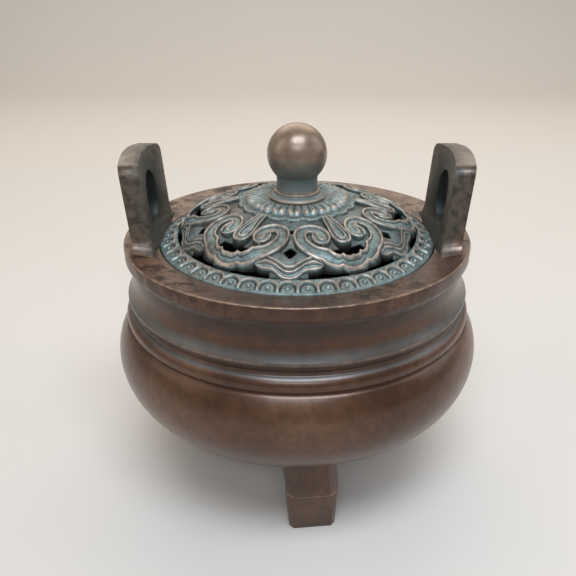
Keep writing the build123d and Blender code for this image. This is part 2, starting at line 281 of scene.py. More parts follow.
def lathe(name, profile, marks, segments):
    """Turns a (radius, height) profile in mm; marks are (attribute, radius, height, reach) in mm."""
    rows, vertices, faces = [], [], []
    for radius, height in profile:
        turns = 1 if radius < 1e-4 else segments
        rows.append(range(len(vertices), len(vertices) + turns))
        for s in range(turns):
            a = math.tau * s / segments
            vertices.append((radius * MM * math.cos(a), radius * MM * math.sin(a), height * MM))
    for low, high in zip(rows, rows[1:]):
        for s in range(segments):
            t = (s + 1) % segments
            corners = (low[s % len(low)], high[s % len(high)], high[t % len(high)], low[t % len(low)])
            corners = tuple(dict.fromkeys(corners))
            if len(corners) > 2:
                faces.append(corners)
    attributes = {key: [] for key in sorted({mark[0] for mark in marks})}
    for (radius, height), row in zip(profile, rows):
        for key, values in attributes.items():
            near = [1 - math.hypot(radius - r, height - z) / reach
                    for mark, r, z, reach in marks if mark == key]
            values += [max(0.0, *near)] * len(row)
    return outward(new_object(name, vertices, faces, attributes))


def finish_piece(obj, body, slot, material, *nodes):
    """Gives a finished piece its material and body, and hides the nodes that it stands for; the slot is not
    used.
    """
    obj.data.materials.clear()
    obj.data.materials.append(material)
    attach(obj, body)
    if nodes:
        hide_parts(*nodes)
    return obj


# ------------------------------------------------------------------ what repeats round the axis
def turning_tree():
    """Geometry nodes: repeats one unit of an ornament round the vertical axis, mirrored if asked."""
    tree = bpy.data.node_groups.new("repeat_round_axis", "GeometryNodeTree")
    sockets = tree.interface
    sockets.new_socket("Geometry", in_out="INPUT", socket_type="NodeSocketGeometry")
    for name, kind, default in (("Count", "NodeSocketInt", 6), ("Mirrored", "NodeSocketBool", False),
                                ("Turn", "NodeSocketFloat", 0.0), ("Weld", "NodeSocketFloat", 1e-5)):
        sockets.new_socket(name, in_out="INPUT", socket_type=kind).default_value = default
    sockets.new_socket("Material", in_out="INPUT", socket_type="NodeSocketMaterial")
    sockets.new_socket("Geometry", in_out="OUTPUT", socket_type="NodeSocketGeometry")
    given = node(tree, "NodeGroupInput").outputs
    mirror = node(tree, "GeometryNodeTransform", {"Geometry": given["Geometry"]},
                  {"Scale": (-1, 1, 1)})
    flip = node(tree, "GeometryNodeFlipFaces", {"Mesh": mirror.outputs[0]})
    both = node(tree, "GeometryNodeJoinGeometry")
    tree.links.new(flip.outputs[0], both.inputs[0])
    tree.links.new(given["Geometry"], both.inputs[0])
    unit = node(tree, "GeometryNodeSwitch", {"Switch": given["Mirrored"], "False": given["Geometry"],
                                             "True": both.outputs[0]}, input_type="GEOMETRY")
    points = node(tree, "GeometryNodePoints", {"Count": given["Count"]})
    index = node(tree, "GeometryNodeInputIndex")
    step = node(tree, "ShaderNodeMath", {0: index.outputs[0]}, {1: math.tau}, operation="MULTIPLY")
    angle = node(tree, "ShaderNodeMath", {0: step.outputs[0], 1: given["Count"]}, operation="DIVIDE")
    turned = node(tree, "ShaderNodeMath", {0: angle.outputs[0], 1: given["Turn"]}, operation="ADD")
    about = node(tree, "ShaderNodeCombineXYZ", {"Z": turned.outputs[0]})
    euler = node(tree, "FunctionNodeEulerToRotation", {0: about.outputs[0]})
    placed = node(tree, "GeometryNodeInstanceOnPoints",
                  {"Points": points.outputs[0], "Instance": unit.outputs[0],
                   "Rotation": euler.outputs[0]})
    real = node(tree, "GeometryNodeRealizeInstances", {"Geometry": placed.outputs[0]})
    welded = node(tree, "GeometryNodeMergeByDistance",
                  {"Geometry": real.outputs[0], "Distance": given["Weld"]})
    painted = node(tree, "GeometryNodeSetMaterial",
                   {"Geometry": welded.outputs[0], "Material": given["Material"]})
    node(tree, "NodeGroupOutput", {"Geometry": painted.outputs[0]})
    return tree


def repeat(obj, count, mirrored):
    """Runs the repeating tree on an ornament's unit and keeps the result as its plain mesh."""
    tree = bpy.data.node_groups.get("repeat_round_axis") or turning_tree()
    keys = {s.name: s.identifier for s in tree.interface.items_tree if s.in_out == "INPUT"}
    modifier = obj.modifiers.new("repeat", "NODES")
    modifier.node_group = tree
    modifier[keys["Count"]] = count
    modifier[keys["Mirrored"]] = mirrored
    modifier[keys["Turn"]] = CLOUD_TURN
    modifier[keys["Weld"]] = 1e-5
    modifier[keys["Material"]] = material("lid_grey_patina")
    apply_modifiers(obj)
    smooth_faces(obj.data)


def finish_ornament(obj, *nodes):
    """Finishes a piece of the lid as cast bronze under its grey patina."""
    return finish_piece(outward(obj), "lid", "lid_bronze", material("lid_grey_patina"), *nodes)


# ------------------------------------------------------------------ materials
def shader(name):
    """Fresh material with its Principled shader and object coordinates."""
    material = bpy.data.materials.new(name)
    material.use_nodes = True
    tree = material.node_tree
    tree.nodes.clear()
    output = node(tree, "ShaderNodeOutputMaterial")
    surface = node(tree, "ShaderNodeBsdfPrincipled")
    tree.links.new(surface.outputs[0], output.inputs["Surface"])
    place = node(tree, "ShaderNodeTexCoord").outputs["Object"]
    return material, tree, surface, place


def ramp(tree, source, stops):
    """Colour ramp with (position, hex) stops."""
    made = node(tree, "ShaderNodeValToRGB", {"Fac": source})
    elements = made.color_ramp.elements
    for i, (position, code) in enumerate(stops):
        element = elements[i] if i < 2 else elements.new(position)
        element.position = position
        element.color = linear(code)
    return made.outputs["Color"]


def feed(tree, made, sources):
    """Gives a node's inputs their sources: sockets are linked, constants are set."""
    for key, source in sources.items():
        if isinstance(source, (tuple, float, int)):
            made.inputs[key].default_value = source
        else:
            tree.links.new(source, made.inputs[key])


def blend(tree, factor, first, second, mode="MIX"):
    """Mixes two colours."""
    made = node(tree, "ShaderNodeMix", data_type="RGBA", blend_type=mode)
    feed(tree, made, {"Factor": factor, 6: first, 7: second})
    return made.outputs[2]


def scale_range(tree, source, low, high, to_low=0.0, to_high=1.0):
    """Maps a value from one range to another, clamped."""
    return node(tree, "ShaderNodeMapRange", {"Value": source},
                {"From Min": low, "From Max": high, "To Min": to_low, "To Max": to_high}).outputs[0]


def grains(tree, place, size_mm, detail=3.0, roughness=0.55):
    """Noise whose features are about size_mm across."""
    return node(tree, "ShaderNodeTexNoise", {"Vector": place},
                {"Scale": 1000 / size_mm / 2, "Detail": detail, "Roughness": roughness}).outputs["Fac"]


def calculate(tree, operation, first, second):
    """One sum on two values."""
    made = node(tree, "ShaderNodeMath", operation=operation)
    feed(tree, made, {0: first, 1: second})
    return made.outputs[0]


def attribute(tree, name):
    """A piece's own float attribute."""
    return node(tree, "ShaderNodeAttribute", attribute_name=name).outputs["Fac"]


def bump(tree, height, distance_mm, strength=1.0):
    """Bump from a height value."""
    return node(tree, "ShaderNodeBump", {"Height": height},
                {"Distance": distance_mm * MM, "Strength": strength}).outputs[0]


def brown_bronze(name, tones, gloss=0.37, patina_and_reflection_tone="66777a", cover=(0.3, 0.62), shade="8c7a68"):
    """Cast bronze with a brown heat patina, waxed; tones run from dark to light, cover from thin to thick."""
    material, tree, surface, place = shader(name)
    patches = grains(tree, place, 14, 4)        # uneven heating leaves patches a thumb wide
    skin = grains(tree, place, 1.1, 3)          # the casting's fine skin breaks up the colour
    specks = grains(tree, place, 2.4, 6, 0.78)  # pits and dark specks left by the mould
    colour = ramp(tree, patches, tuple(zip((0.30, 0.52, 0.74), tones)))
    fine = ramp(tree, skin, ((0.34, "7d7873"), (0.62, "ffffff")))
    colour = blend(tree, 0.35, colour, fine, "MULTIPLY")
    # Painted shade darkens the places that the piece marks: under the bowl's lip, where the lip shades the
    # neck; on the ears everything above the foot is made darker.
    colour = blend(tree, attribute(tree, "shade"), colour, linear(shade), "MULTIPLY")
    # Pits: dark flecks where the piece is marked for them, gathered in the darker patches.
    where = scale_range(tree, patches, 0.32, 0.52, 0.3, 1.0)
    pits = calculate(tree, "MULTIPLY", scale_range(tree, specks, 0.46, 0.54), where)
    marked = scale_range(tree, attribute(tree, "pits"), 0, 0.7, 0.0, 0.9)
    pits = calculate(tree, "MULTIPLY", pits, marked)
    colour = blend(tree, pits, colour, linear("1c1510"))
    # Patina and painted reflection: a grey-blue film in hollows and on undersides; the same mark paints the
    # window's reflection on the bowl's neck flare and round the ears' feet, and a dark reflection of the lid
    # on the ears' inner faces.
    film = scale_range(tree, patches, 0.3, 0.65, *cover)
    bloom = calculate(tree, "MULTIPLY", attribute(tree, "bloom"), film)
    colour = blend(tree, bloom, colour, linear(patina_and_reflection_tone))
    # Wear and painted highlight: pale metal where edges are rubbed, also painted on edges and corners where
    # highlights fall.
    wear_and_highlight_breakup = scale_range(tree, skin, 0.36, 0.58, 0.2, 0.8)
    wear_and_highlight_mask = calculate(tree, "MULTIPLY", attribute(tree, "wear"), wear_and_highlight_breakup)
    colour = blend(tree, wear_and_highlight_mask, colour, linear("b59a82"))
    tree.links.new(colour, surface.inputs["Base Color"])
    # Where the patina and painted reflection lie, and in pits, no bare metal shows: it neither mirrors nor
    # shines.
    dull = calculate(tree, "MAXIMUM", calculate(tree, "MULTIPLY", bloom, cover[0]), pits)
    shine = (("Metallic", 0.5, 0.08), ("Specular IOR Level", 0.5, 0.15), ("Coat Weight", 0.45, 0.0))
    for socket, bare, covered in shine:
        tree.links.new(scale_range(tree, dull, 0.1, 0.8, bare, covered), surface.inputs[socket])
    rough = scale_range(tree, patches, 0.25, 0.75, gloss - 0.05, gloss + 0.09)
    rough = calculate(tree, "ADD", rough, calculate(tree, "MULTIPLY", bloom, 0.2))
    tree.links.new(rough, surface.inputs["Roughness"])
    surface.inputs["Coat Roughness"].default_value = 0.19  # the wax film keeps window lights crisp
    tree.links.new(bump(tree, calculate(tree, "SUBTRACT", skin, pits), 0.06, 0.55), surface.inputs["Normal"])
    return material


def grey_patina(name):
    """Bronze under a blue-grey chemical patina, rubbed back to pale metal on the raised lines."""
    material, tree, surface, place = shader(name)
    relief = attribute(tree, "relief")       # 0 in the deepest recess, 1 on top of a raised line
    patches = grains(tree, place, 7, 6, 0.7)  # where the patina took badly and brown shows
    skin = grains(tree, place, 0.9, 3)       # the patina's powdery grain
    # The near-black stops for the deepest recesses are partly painted shade and partly dark patina; the pale
    # stops are metal rubbed back on the raised lines.
    colour = ramp(tree, relief, ((0.0, "1d1a17"), (0.22, "4a4e48"), (0.42, "697673"), (0.58, "7f9391"),
                                 (0.74, "8a9c98"), (0.88, "aa9a8b"), (1.0, "b9a899")))
    brown = calculate(tree, "MULTIPLY", scale_range(tree, patches, 0.48, 0.66), 0.55)
    colour = blend(tree, brown, colour, linear("6e5647"))
    fine = ramp(tree, skin, ((0.34, "7c7a76"), (0.62, "ffffff")))
    colour = blend(tree, 0.6, colour, fine, "MULTIPLY")
    tree.links.new(colour, surface.inputs["Base Color"])
    surface.inputs["Metallic"].default_value = 0.45
    # Rubbed lines are glossier than the powdery recesses.
    tree.links.new(scale_range(tree, relief, 0.2, 1.0, 0.62, 0.36), surface.inputs["Roughness"])
    tree.links.new(bump(tree, skin, 0.05, 0.6), surface.inputs["Normal"])
    return material


def dulled_brass(name):
    """Plain turned brass, dulled by smoke: warm yellow with brown film."""
    material, tree, surface, place = shader(name)
    film = grains(tree, place, 4, 4)  # smoke film, thicker in places: darker and duller there
    tree.links.new(ramp(tree, film, ((0.3, "6d5630"), (0.7, "b08d4c"))), surface.inputs["Base Color"])
    surface.inputs["Metallic"].default_value = 0.95
    tree.links.new(scale_range(tree, film, 0.2, 0.8, 0.28, 0.5), surface.inputs["Roughness"])
    tree.links.new(bump(tree, grains(tree, place, 0.5), 0.02), surface.inputs["Normal"])
    return material


def heat_fibre(name):
    """Needled ceramic-fibre mat: matte off-white with scorched patches and lying fibres."""
    material, tree, surface, place = shader(name)
    scorch = grains(tree, place, 16, 4)  # browned where embers and oil fell
    stretched = node(tree, "ShaderNodeMapping", {"Vector": place}, {"Scale": (1, 0.12, 1)}).outputs[0]
    fibres = grains(tree, stretched, 0.5, 5, 0.7)  # fibres lie one way and catch light in streaks
    colour = ramp(tree, scorch, ((0.35, "d8d3c9"), (0.58, "b9b0a2"), (0.74, "6f6355")))
    colour = blend(tree, 0.5, colour, ramp(tree, fibres, ((0.3, "8f8f8f"), (0.7, "ffffff"))), "MULTIPLY")
    tree.links.new(colour, surface.inputs["Base Color"])
    surface.inputs["Roughness"].default_value = 0.95
    surface.inputs["Sheen Weight"].default_value = 0.3
    tree.links.new(bump(tree, fibres, 0.3), surface.inputs["Normal"])
    return material


def incense_paste(name):
    """Extruded sandalwood paste: matte brown with fine wood dust."""
    material, tree, surface, place = shader(name)
    dust = grains(tree, place, 0.4, 4, 0.7)  # wood dust gives a fine salt-and-pepper grain
    tree.links.new(ramp(tree, dust, ((0.3, "4a3323"), (0.7, "8a6747"))), surface.inputs["Base Color"])
    surface.inputs["Roughness"].default_value = 0.88
    tree.links.new(bump(tree, dust, 0.08), surface.inputs["Normal"])
    return material


def pale_board(name, code):
    """Smooth painted board for the stage."""
    material, tree, surface, place = shader(name)
    cloud = grains(tree, place, 180, 2)  # barely seen clouding keeps the board from looking flat
    tree.links.new(ramp(tree, cloud, ((0.3, code), (0.7, "cfcac3"))), surface.inputs["Base Color"])
    surface.inputs["Roughness"].default_value = 0.6
    return material


BROWN_TONES = ("442a18", "593a25", "6e4f37")
BALL_TONES = ("6c5745", "85705c", "9c8c7c")


def stage_board(name):
    """The stage's board, in the colour that the settings give."""
    return pale_board(name, bpy.context.scene.burner.floor_colour_hex)


FINISHES = {
    "bowl_brown_bronze": (brown_bronze, BROWN_TONES),
    # For the ears, the dark grey-green tone paints the lid's dark reflection on their inner faces along with
    # patina; the last tone darkens them above the foot.
    "ear_brown_bronze": (brown_bronze, BROWN_TONES, 0.30, "2b3331", (0.85, 1.0), "5a4d42"),
    "finial_brown_bronze": (brown_bronze, BALL_TONES, 0.33, "5c6e6f", (0.75, 1.0)),
    "lid_grey_patina": (grey_patina,),
    "dulled_brass": (dulled_brass,),
    "heat_fibre_mat": (heat_fibre,),
    "incense_paste": (incense_paste,),
    "stage_board": (stage_board,),
}


def material(key):
    """The finish of that name, made once."""
    maker, *choices = FINISHES[key]
    return bpy.data.materials.get(key) or maker(key, *choices)


# ------------------------------------------------------------------ bowl, ears, feet
def belly_arcs(inset, top):
    """Belly outline as (radius, height) points in millimetres, from top down to the flat bottom."""
    upper, lower, under = 16.8 - inset, BELLY_LOWER_ARC - inset, BELLY_UNDER_ARC - inset
    upper_centre = 40.1
    limit = math.radians(90) - BELLY_ARC_TURN
    points = []
    start = math.asin((top - BELLY_ARC_HEIGHT) / upper)
    for i in range(14):
        a = start * (1 - i / 14)
        points.append((upper_centre + upper * math.cos(a), BELLY_ARC_HEIGHT + upper * math.sin(a)))
    for i in range(20):
        a = -limit * i / 20
        points.append((BELLY_LOWER_CENTRE + lower * math.cos(a), BELLY_ARC_HEIGHT + lower * math.sin(a)))
    for i in range(21):
        a = -limit - BELLY_ARC_TURN * i / 20
        points.append((BELLY_UNDER_CENTRE + under * math.cos(a), BELLY_UNDER_HEIGHT + under * math.sin(a)))
    return points


def make_bowl():
    """The bowl: rim, lip, hollow neck, ridge, ring and belly, turned from one profile."""
    rim = [(39.9, 71.8, 0), (39.9, 74.4, 0.2), (MOUTH_RADIUS, 74.4, 0.15), (MOUTH_RADIUS, 76.7, 0.3),
           (44.0, 77.08, 0), (46.0, 77.44, 0), (48.0, 77.79, 0), (50.0, 78.15, 0),
           (RIM_RADIUS, 78.5, 0.45), (RIM_RADIUS, 74.6, 0.4), (50.9, 74.0, 0.5),
           (50.3, 72.4, 1.2), (50.3, 69.5, 0)]
    neck = arc((50.3, 69.5), (50.72, 65.9), (52.3, 62.7), 16)
    edge = [(52.3, 62.7, 0), (52.32, 62.2, 0.15), (51.25, 59.8, 0.5), (51.2, 58.8, 0)]
    ring = arc((51.2, 58.8), (53.3, 56.5), (52.8, 54.3), 16)
    step = [(52.8, 54.3, 0), (52.45, 53.9, 0.25)]
    outer = belly_arcs(0, 53.7)
    inner = belly_arcs(WALL, 50.5)
    profile = rounded(rim) + neck[1:] + rounded(edge)[:-1] + ring + rounded(step)[1:] + outer
    profile += [(0, outer[-1][1]), (0, outer[-1][1] + WALL)] + inner[::-1]
    profile += [(47.2, 62.0), (46.6, 70.5), (39.9, 71.8)]
    # Pale bands on the rim's outer edge, the ridge's edge and the step are wear and also painted highlights;
    # the grey-blue mark on the neck flare paints the window's reflection there; the dark mark under the lip
    # paints the lip's shade on the neck.
    marks = [("wear", 51.9, 78.4, 0.35), ("wear", 52.3, 62.5, 0.3), ("wear", 52.8, 54.4, 0.15),
             ("bloom", 51.9, 64.0, 2.9), ("bloom", 51.9, 58.6, 1.0), ("pits", 47.0, 77.6, 9.0),
             ("shade", 50.4, 70.9, 4.2)]
    bowl = lathe("bowl_casting", profile, marks, 384)
    return finish_piece(bowl, "bowl", "bowl_bronze", material("bowl_brown_bronze"), "bowl")


def ear_outline(width, top, flare):
    """Half outline of the ear's side view, from the foot's end to the middle of the top, in mm."""
    foot = [(width + flare, -1.4), (width + flare, -0.3)]
    foot += arc((width + flare, -0.3), (width + flare * 0.293, flare * 0.293 - 0.6), (width, flare - 0.6), 10)
    side = [(width, flare - 0.6 + (top - 5.2 - flare) * t / 6 + 0.1 * t) for t in range(6)]
    corner = arc((width, top - 4.6), (width - 1.1, top - 1.9), (width - 3.8, top - 1.0), 10)
    crown = arc((width - 3.8, top - 1.0), ((width - 3.8) * 0.55, top - 0.28), (0, top), 8)
    return foot + side + corner + crown + [(0, top)]


def make_ear(side, name):
    """Upright loop ear, slightly curved in plan, leaning outwards, with softly rounded edges."""
    half = ear_outline(EAR_HALF_WIDTH, EAR_RISE, EAR_FLARE)
    outline = half + [(-y, z) for y, z in half[::-1][1:]]
    hole = []
    for i in range(48):
        a = math.tau * (i + 0.5) / 48
        hole.append((6.0 * math.cos(a), 10.8 + math.copysign(1.75, math.sin(a)) + 6.0 * math.sin(a)))
    work = bmesh.new()

    def place(y, z, depth):
        """From the flat ear to the leaning curved one, whose foot follows the rim's slope."""
        x = EAR_INSIDE + depth + z * EAR_LEAN - y * y / EAR_CURVE
        fall = RIM_FALL / MM * (math.hypot(x, y) - RIM_RADIUS) / RIM_WIDTH + 0.25
        return (side * x * MM, y * MM, RIM_HEIGHT + (z + fall * max(0.0, 1 - max(0.0, z) / 5)) * MM)

    def loop(points, depth):
        made = [work.verts.new(place(y, z, depth)) for y, z in points]
        for i, v in enumerate(made):
            work.edges.new((v, made[(i + 1) % len(made)]))
        return made

    walls = []
    for depth in (0.0, EAR_THICKNESS):
        rings = [loop(outline, depth), loop(hole, depth)]
        own = set(rings[0] + rings[1])
        edges = [e for e in work.edges if all(v in own for v in e.verts)]
        bmesh.ops.triangle_fill(work, use_beauty=True, use_dissolve=False, edges=edges)
        walls.append(rings)
    for inside, outside in zip(*walls):
        for i in range(len(inside)):
            j = (i + 1) % len(inside)
            work.faces.new((inside[i], inside[j], outside[j], outside[i]))
    bmesh.ops.recalc_face_normals(work, faces=work.faces)
    ear = from_bmesh(name, work)
    round_edges(ear, 0.55, 50)
    paint_ear(ear)
    smooth_but(ear, 38)
    return finish_piece(ear, "bowl", "ear_bronze", material("ear_brown_bronze"), name.replace("_loop", ""))


def paint_ear(ear):
    """Patina with a dark painted reflection on the inner face, painted reflection and highlight on the foot's
    fillets, darker above the foot, wear on exposed edges and a painted highlight on the top corners.
    """
    wear, bloom, pits, shade = [], [], [], []
    for v in ear.data.vertices:
        y, z = abs(v.co.y) / MM, (v.co.z - RIM_HEIGHT) / MM
        depth = abs(v.co.x) / MM - EAR_INSIDE - z * EAR_LEAN + y * y / EAR_CURVE
        foot = max(0.0, 1 - abs(z - 1.2) / 1.8) if y > EAR_HALF_WIDTH and z < 4 else 0.0
        corner = max(0.0, 1 - math.hypot(y - 15.0, z - 21.3) / 2.2)
        inner = 0.95 if depth < 0.3 else 0.0
        edge = max(0.0, 1 - min(abs(depth), abs(depth - EAR_THICKNESS)) / 0.5)
        exposed = 0.25 if y > 13.5 or z > 21 else 0.0
        # The inner face gets a dark painted reflection of the lid along with patina; the foot's fillets get a
        # painted reflection and, with the top corners, pale paint for their highlights; only the exposed
        # edges get real wear; all above the foot is made darker.
        bloom.append(min(1.0, 0.1 * foot + inner))
        shade.append(min(1.0, max(0.0, (z - 0.5) / 5)))
        wear.append(min(1.0, exposed * edge + 0.15 * foot + 0.12 * corner))
        pits.append(0.05)
    add_attributes(ear.data, {"wear": wear, "bloom": bloom, "pits": pits, "shade": shade})


def make_foot(name, angle):
    """Square faceted foot: a lower block, a bright ridge and a chamfered upper block."""
    def outline(size, chamfer, height):
        """Square with cut corners, as points in metres."""
        h, c = size / 2, size / 2 - chamfer
        corners = ((h, -c), (h, c), (c, h), (-c, h), (-h, c), (-h, -c), (-c, -h), (c, -h))
        return [(x * MM, y * MM, height * MM) for x, y in corners]

    levels = ((13.8, 1.3, 0.0), (14.8, 1.5, 12.3), (15.6, 2.9, 12.7), (15.3, 3.0, 15.5), (14.2, 3.0, 27.0))
    work = bmesh.new()
    rings = [[work.verts.new(point) for point in outline(*level)] for level in levels]
    for low, high in zip(rings, rings[1:]):
        for i in range(8):
            j = (i + 1) % 8
            work.faces.new((low[i], low[j], high[j], high[i]))
    work.faces.new(rings[0][::-1])
    work.faces.new(rings[-1])
    spot = Matrix.Rotation(angle, 4, "Z") @ Matrix.Translation((FOOT_CIRCLE * MM, 0, 0))
    bmesh.ops.transform(work, matrix=spot, verts=work.verts)
    # The top follows the belly's underside, a little inside its wall.
    under = BELLY_UNDER_ARC - 0.4
    for v in rings[-1]:
        reach = math.hypot(v.co.x, v.co.y) / MM - BELLY_UNDER_CENTRE
        v.co.z = (BELLY_UNDER_HEIGHT - math.sqrt(under ** 2 - reach ** 2)) * MM
    bmesh.ops.recalc_face_normals(work, faces=work.faces)
    foot = from_bmesh(name, work)
    round_edges(foot, 0.4, 12)
    wear = []
    for v in foot.data.vertices:
        height = v.co.z / MM
        # The pale band along the ridge paints its highlight as well as wear; the band at the sole is wear.
        ridge = max(0.0, 1 - abs(height - 12.6) / 0.4)
        sole = max(0.0, 1 - height / 0.3)
        wear.append(0.6 * ridge + 0.3 * sole)
    count = len(wear)
    add_attributes(foot.data, {"wear": wear, "bloom": [0.08] * count, "pits": [0.1] * count})
    smooth_but(foot, 30)
    return finish_piece(foot, "bowl", "foot_bronze", material("bowl_brown_bronze"),
                        name.replace("_block", ""))


# ------------------------------------------------------------------ lid
def dome_height(radius):
    """Height of the cloud layer's top at a radius, in metres."""
    drop = SHOULDER_BEND * max(0.0, radius - SHOULDER_START) ** 2
    return DOME_CENTRE + math.sqrt(DOME_SPHERE ** 2 - radius ** 2) - drop


def plan(x, y):
    """From the ornament's plan, in rim radii with y outwards, to metres with y along +X."""
    return Vector((y * UNIT, -x * UNIT))


def settle(x, y, share):
    """Moves a drawn point inwards by a share of what the falling cloud layer would hide of it."""
    lean = 2.1
    drawn = DOME_CENTRE + math.sqrt(DOME_SPHERE ** 2 - (x * x + y * y) * UNIT * UNIT)
    want = y - lean * drawn / UNIT
    low, high = y - 0.12, y
    for _ in range(24):
        middle = (low + high) / 2
        here = middle - lean * dome_height(math.hypot(x, middle) * UNIT) / UNIT
        low, high = (middle, high) if here < want else (low, middle)
    return x, y + (low - y) * share


# Half a raised line: distance from its middle and height in mm, and relief tone; the channel comes last.
RIDGE = ((-0.45, -0.45, 0.35), (-0.36, -0.15, 0.72), (-0.15, 0.0, 1.0), (0.15, 0.0, 1.0),
         (0.34, -0.17, 0.8), (0.47, -0.62, 0.10), (0.68, -0.55, 0.42), (0.95, -0.45, 0.55))


# Cross-section of a soft filling without raised lines.
SOFT = ((0, 0.0, -0.5, 0.45), (0.4, 0.0, -0.36, 0.58), (1, 0.0, -0.25, 0.62))


def section(lines):
    """Cross-section of a ribbon whose raised lines lie at fractions of its width."""
    rows = []
    for line in lines:
        half = [(line, u, h, c) for u, h, c in RIDGE]
        mirrored = [(f, -u, h, c) for f, u, h, c in half[::-1]]
        if line == lines[0]:
            rows += half
        elif line == lines[-1]:
            rows += mirrored
        else:
            rows += mirrored[:5] + half[3:]
    return rows


def ribbon(name, runs, lines, depth, foot=None, end_cap=True, lift=0.0, share=0.47):
    """Raised ribbon between an outer and an inner outline, draped on the dome, as a closed strip."""
    outer, inner = [], []
    for outer_run, inner_run, steps in runs:
        for edge, run in ((outer, outer_run), (inner, inner_run)):
            made = even_points([settle(*point, share) for point in run], steps)
            edge += made if not edge else made[1:]
    rows = section(lines) if lines else SOFT
    needed = max(1, len(lines) - 1) * 2 * RIDGE[-1][0] * MM
    vertices, relief = [], []
    for a, b in zip(outer, inner):
        start, end = plan(*a), plan(*b)
        across = end - start
        wide_here = max(across.length, 1e-6)
        across = across / wide_here
        slim = min(1.0, wide_here / needed)
        tall = min(1.0, wide_here / (needed * 0.6))
        made = []
        for line, u, h, c in rows:
            p = start + across * (line * wide_here + u * MM * slim)
            made.append((p.x, p.y, dome_height(p.length) + h * MM * tall + lift))
            relief.append(c)
        vertices += made
        first, last = made[0], made[-1]
        vertices.append((last[0], last[1], last[2] - depth))
        low, spread = first[2] - depth, 0.0
        if foot is not None:
            low = max(foot, first[2] - 4.4 * MM)
            near_border = max(0.0, min(1.0, (start.length / UNIT - 0.60) / 0.05))
            spread = 0.1 * MM + 0.5 * MM * near_border
        vertices.append((first[0] - across.x * spread, first[1] - across.y * spread, low))
        relief += [0.12, 0.3]
    wide, count = len(rows) + 2, len(outer)
    faces = ring_faces(count, wide)
    if end_cap:
        faces.append(tuple(range((count - 1) * wide, count * wide)))
    return outward(new_object(name, vertices, faces, {"relief": relief}), 1e-7)


def raised_line(name, points, width):
    """A single raised line that lies on the channels' level, tapering to both ends."""
    path = even_points(points, 26)
    vertices, relief = [], []
    for i, point in enumerate(path):
        here = plan(*point)
        ahead = plan(*path[min(i + 1, len(path) - 1)]) - plan(*path[max(i - 1, 0)])
        side = Vector((-ahead.y, ahead.x)).normalized()
        half = width / 2 * min(1.0, 0.35 + 4 * min(i, len(path) - 1 - i) / len(path))
        for u, h, c in ((-1.0, -1.2, 0.2), (-1.0, -0.5, 0.4), (-0.5, 0.0, 0.95), (0.5, 0.0, 0.95),
                        (1.0, -0.5, 0.4), (1.0, -1.2, 0.2)):
            p = here + side * (u * half)
            vertices.append((p.x, p.y, dome_height(p.length) + h * MM))
            relief.append(c)
    faces = ring_faces(len(path), 6)
    faces += [tuple(range(6)), tuple(range((len(path) - 1) * 6, len(path) * 6))]
    return outward(new_object(name, vertices, faces, {"relief": relief}), 1e-7)


# Half a cloud scroll, as runs between its cusps: outer outline, inner outline and number of steps.
SCROLL = (
    (((0.350, 0.6062), (0.320, 0.6215), (0.290, 0.626), (0.270, 0.6235)),
     ((0.325, 0.5629), (0.305, 0.577), (0.285, 0.580), (0.270, 0.573)), 12),
    (((0.270, 0.6235), (0.250, 0.637), (0.220, 0.640), (0.190, 0.636), (0.168, 0.624)),
     ((0.270, 0.573), (0.255, 0.586), (0.235, 0.586), (0.212, 0.577), (0.193, 0.562)), 16),
    (((0.168, 0.624), (0.145, 0.622), (0.110, 0.611), (0.075, 0.589), (0.042, 0.553), (0.021, 0.512),
      (0.015, 0.475), (0.021, 0.438), (0.041, 0.412), (0.070, 0.397), (0.100, 0.390), (0.140, 0.399),
      (0.172, 0.421), (0.191, 0.450), (0.196, 0.480), (0.186, 0.511), (0.166, 0.530)),
     ((0.193, 0.562), (0.172, 0.561), (0.140, 0.558), (0.115, 0.545), (0.092, 0.525), (0.076, 0.500),
      (0.070, 0.475), (0.074, 0.455), (0.086, 0.443), (0.102, 0.441), (0.111, 0.450), (0.109, 0.470),
      (0.113, 0.490), (0.126, 0.510), (0.145, 0.524), (0.160, 0.529)), 64),
)
CURL = ((0.104, 0.441), (0.125, 0.448), (0.137, 0.468), (0.144, 0.486), (0.158, 0.496), (0.172, 0.489))
BRACKET = (
    (((0.0, 0.750), (0.025, 0.745), (0.050, 0.730), (0.070, 0.710), (0.090, 0.697), (0.120, 0.690),
      (0.155, 0.680), (0.174, 0.664)),
     ((0.0, 0.688), (0.022, 0.684), (0.040, 0.670), (0.055, 0.659), (0.078, 0.642), (0.100, 0.629),
      (0.125, 0.616), (0.172, 0.657)), 44),
)


def on_tongue(distance, side):
    """From along and across a tongue petal to the ornament's plan; the tongue lies 30 degrees round."""
    c, s = math.cos(math.radians(30)), math.sin(math.radians(30))
    return (distance * s - side * c, distance * c + side * s)


TONGUE_OUTER = ((0.563, 0.0), (0.560, 0.018), (0.545, 0.036), (0.515, 0.046), (0.480, 0.045),
                (0.430, 0.036), (0.370, 0.026), (0.335, 0.020))
TONGUE_INNER = ((0.536, 0.0), (0.533, 0.010), (0.520, 0.019), (0.500, 0.023), (0.470, 0.022),
                (0.430, 0.015), (0.375, 0.006), (0.335, 0.003))


def join(name, objects):
    """Joins mesh objects into one."""
    work = bmesh.new()
    for obj in objects:
        work.from_mesh(obj.data)
    for obj in objects:
        old = obj.data
        bpy.data.objects.remove(obj)
        bpy.data.meshes.remove(old)
    return from_bmesh(name, work)


def make_scrolls(settings):
    """Cloud scrolls: half a scroll, mirrored and repeated round the dome."""
    half = ribbon("scroll_ribbon", SCROLL, (0, 1), 1.9 * MM, BORDER_HEIGHT + 0.6 * MM)
    half = join("cloud_scrolls", [half, raised_line("scroll_curl", CURL, 0.9 * MM)])
    repeat(half, settings.cloud_count, True)
    return finish_ornament(half, "lid_plate")


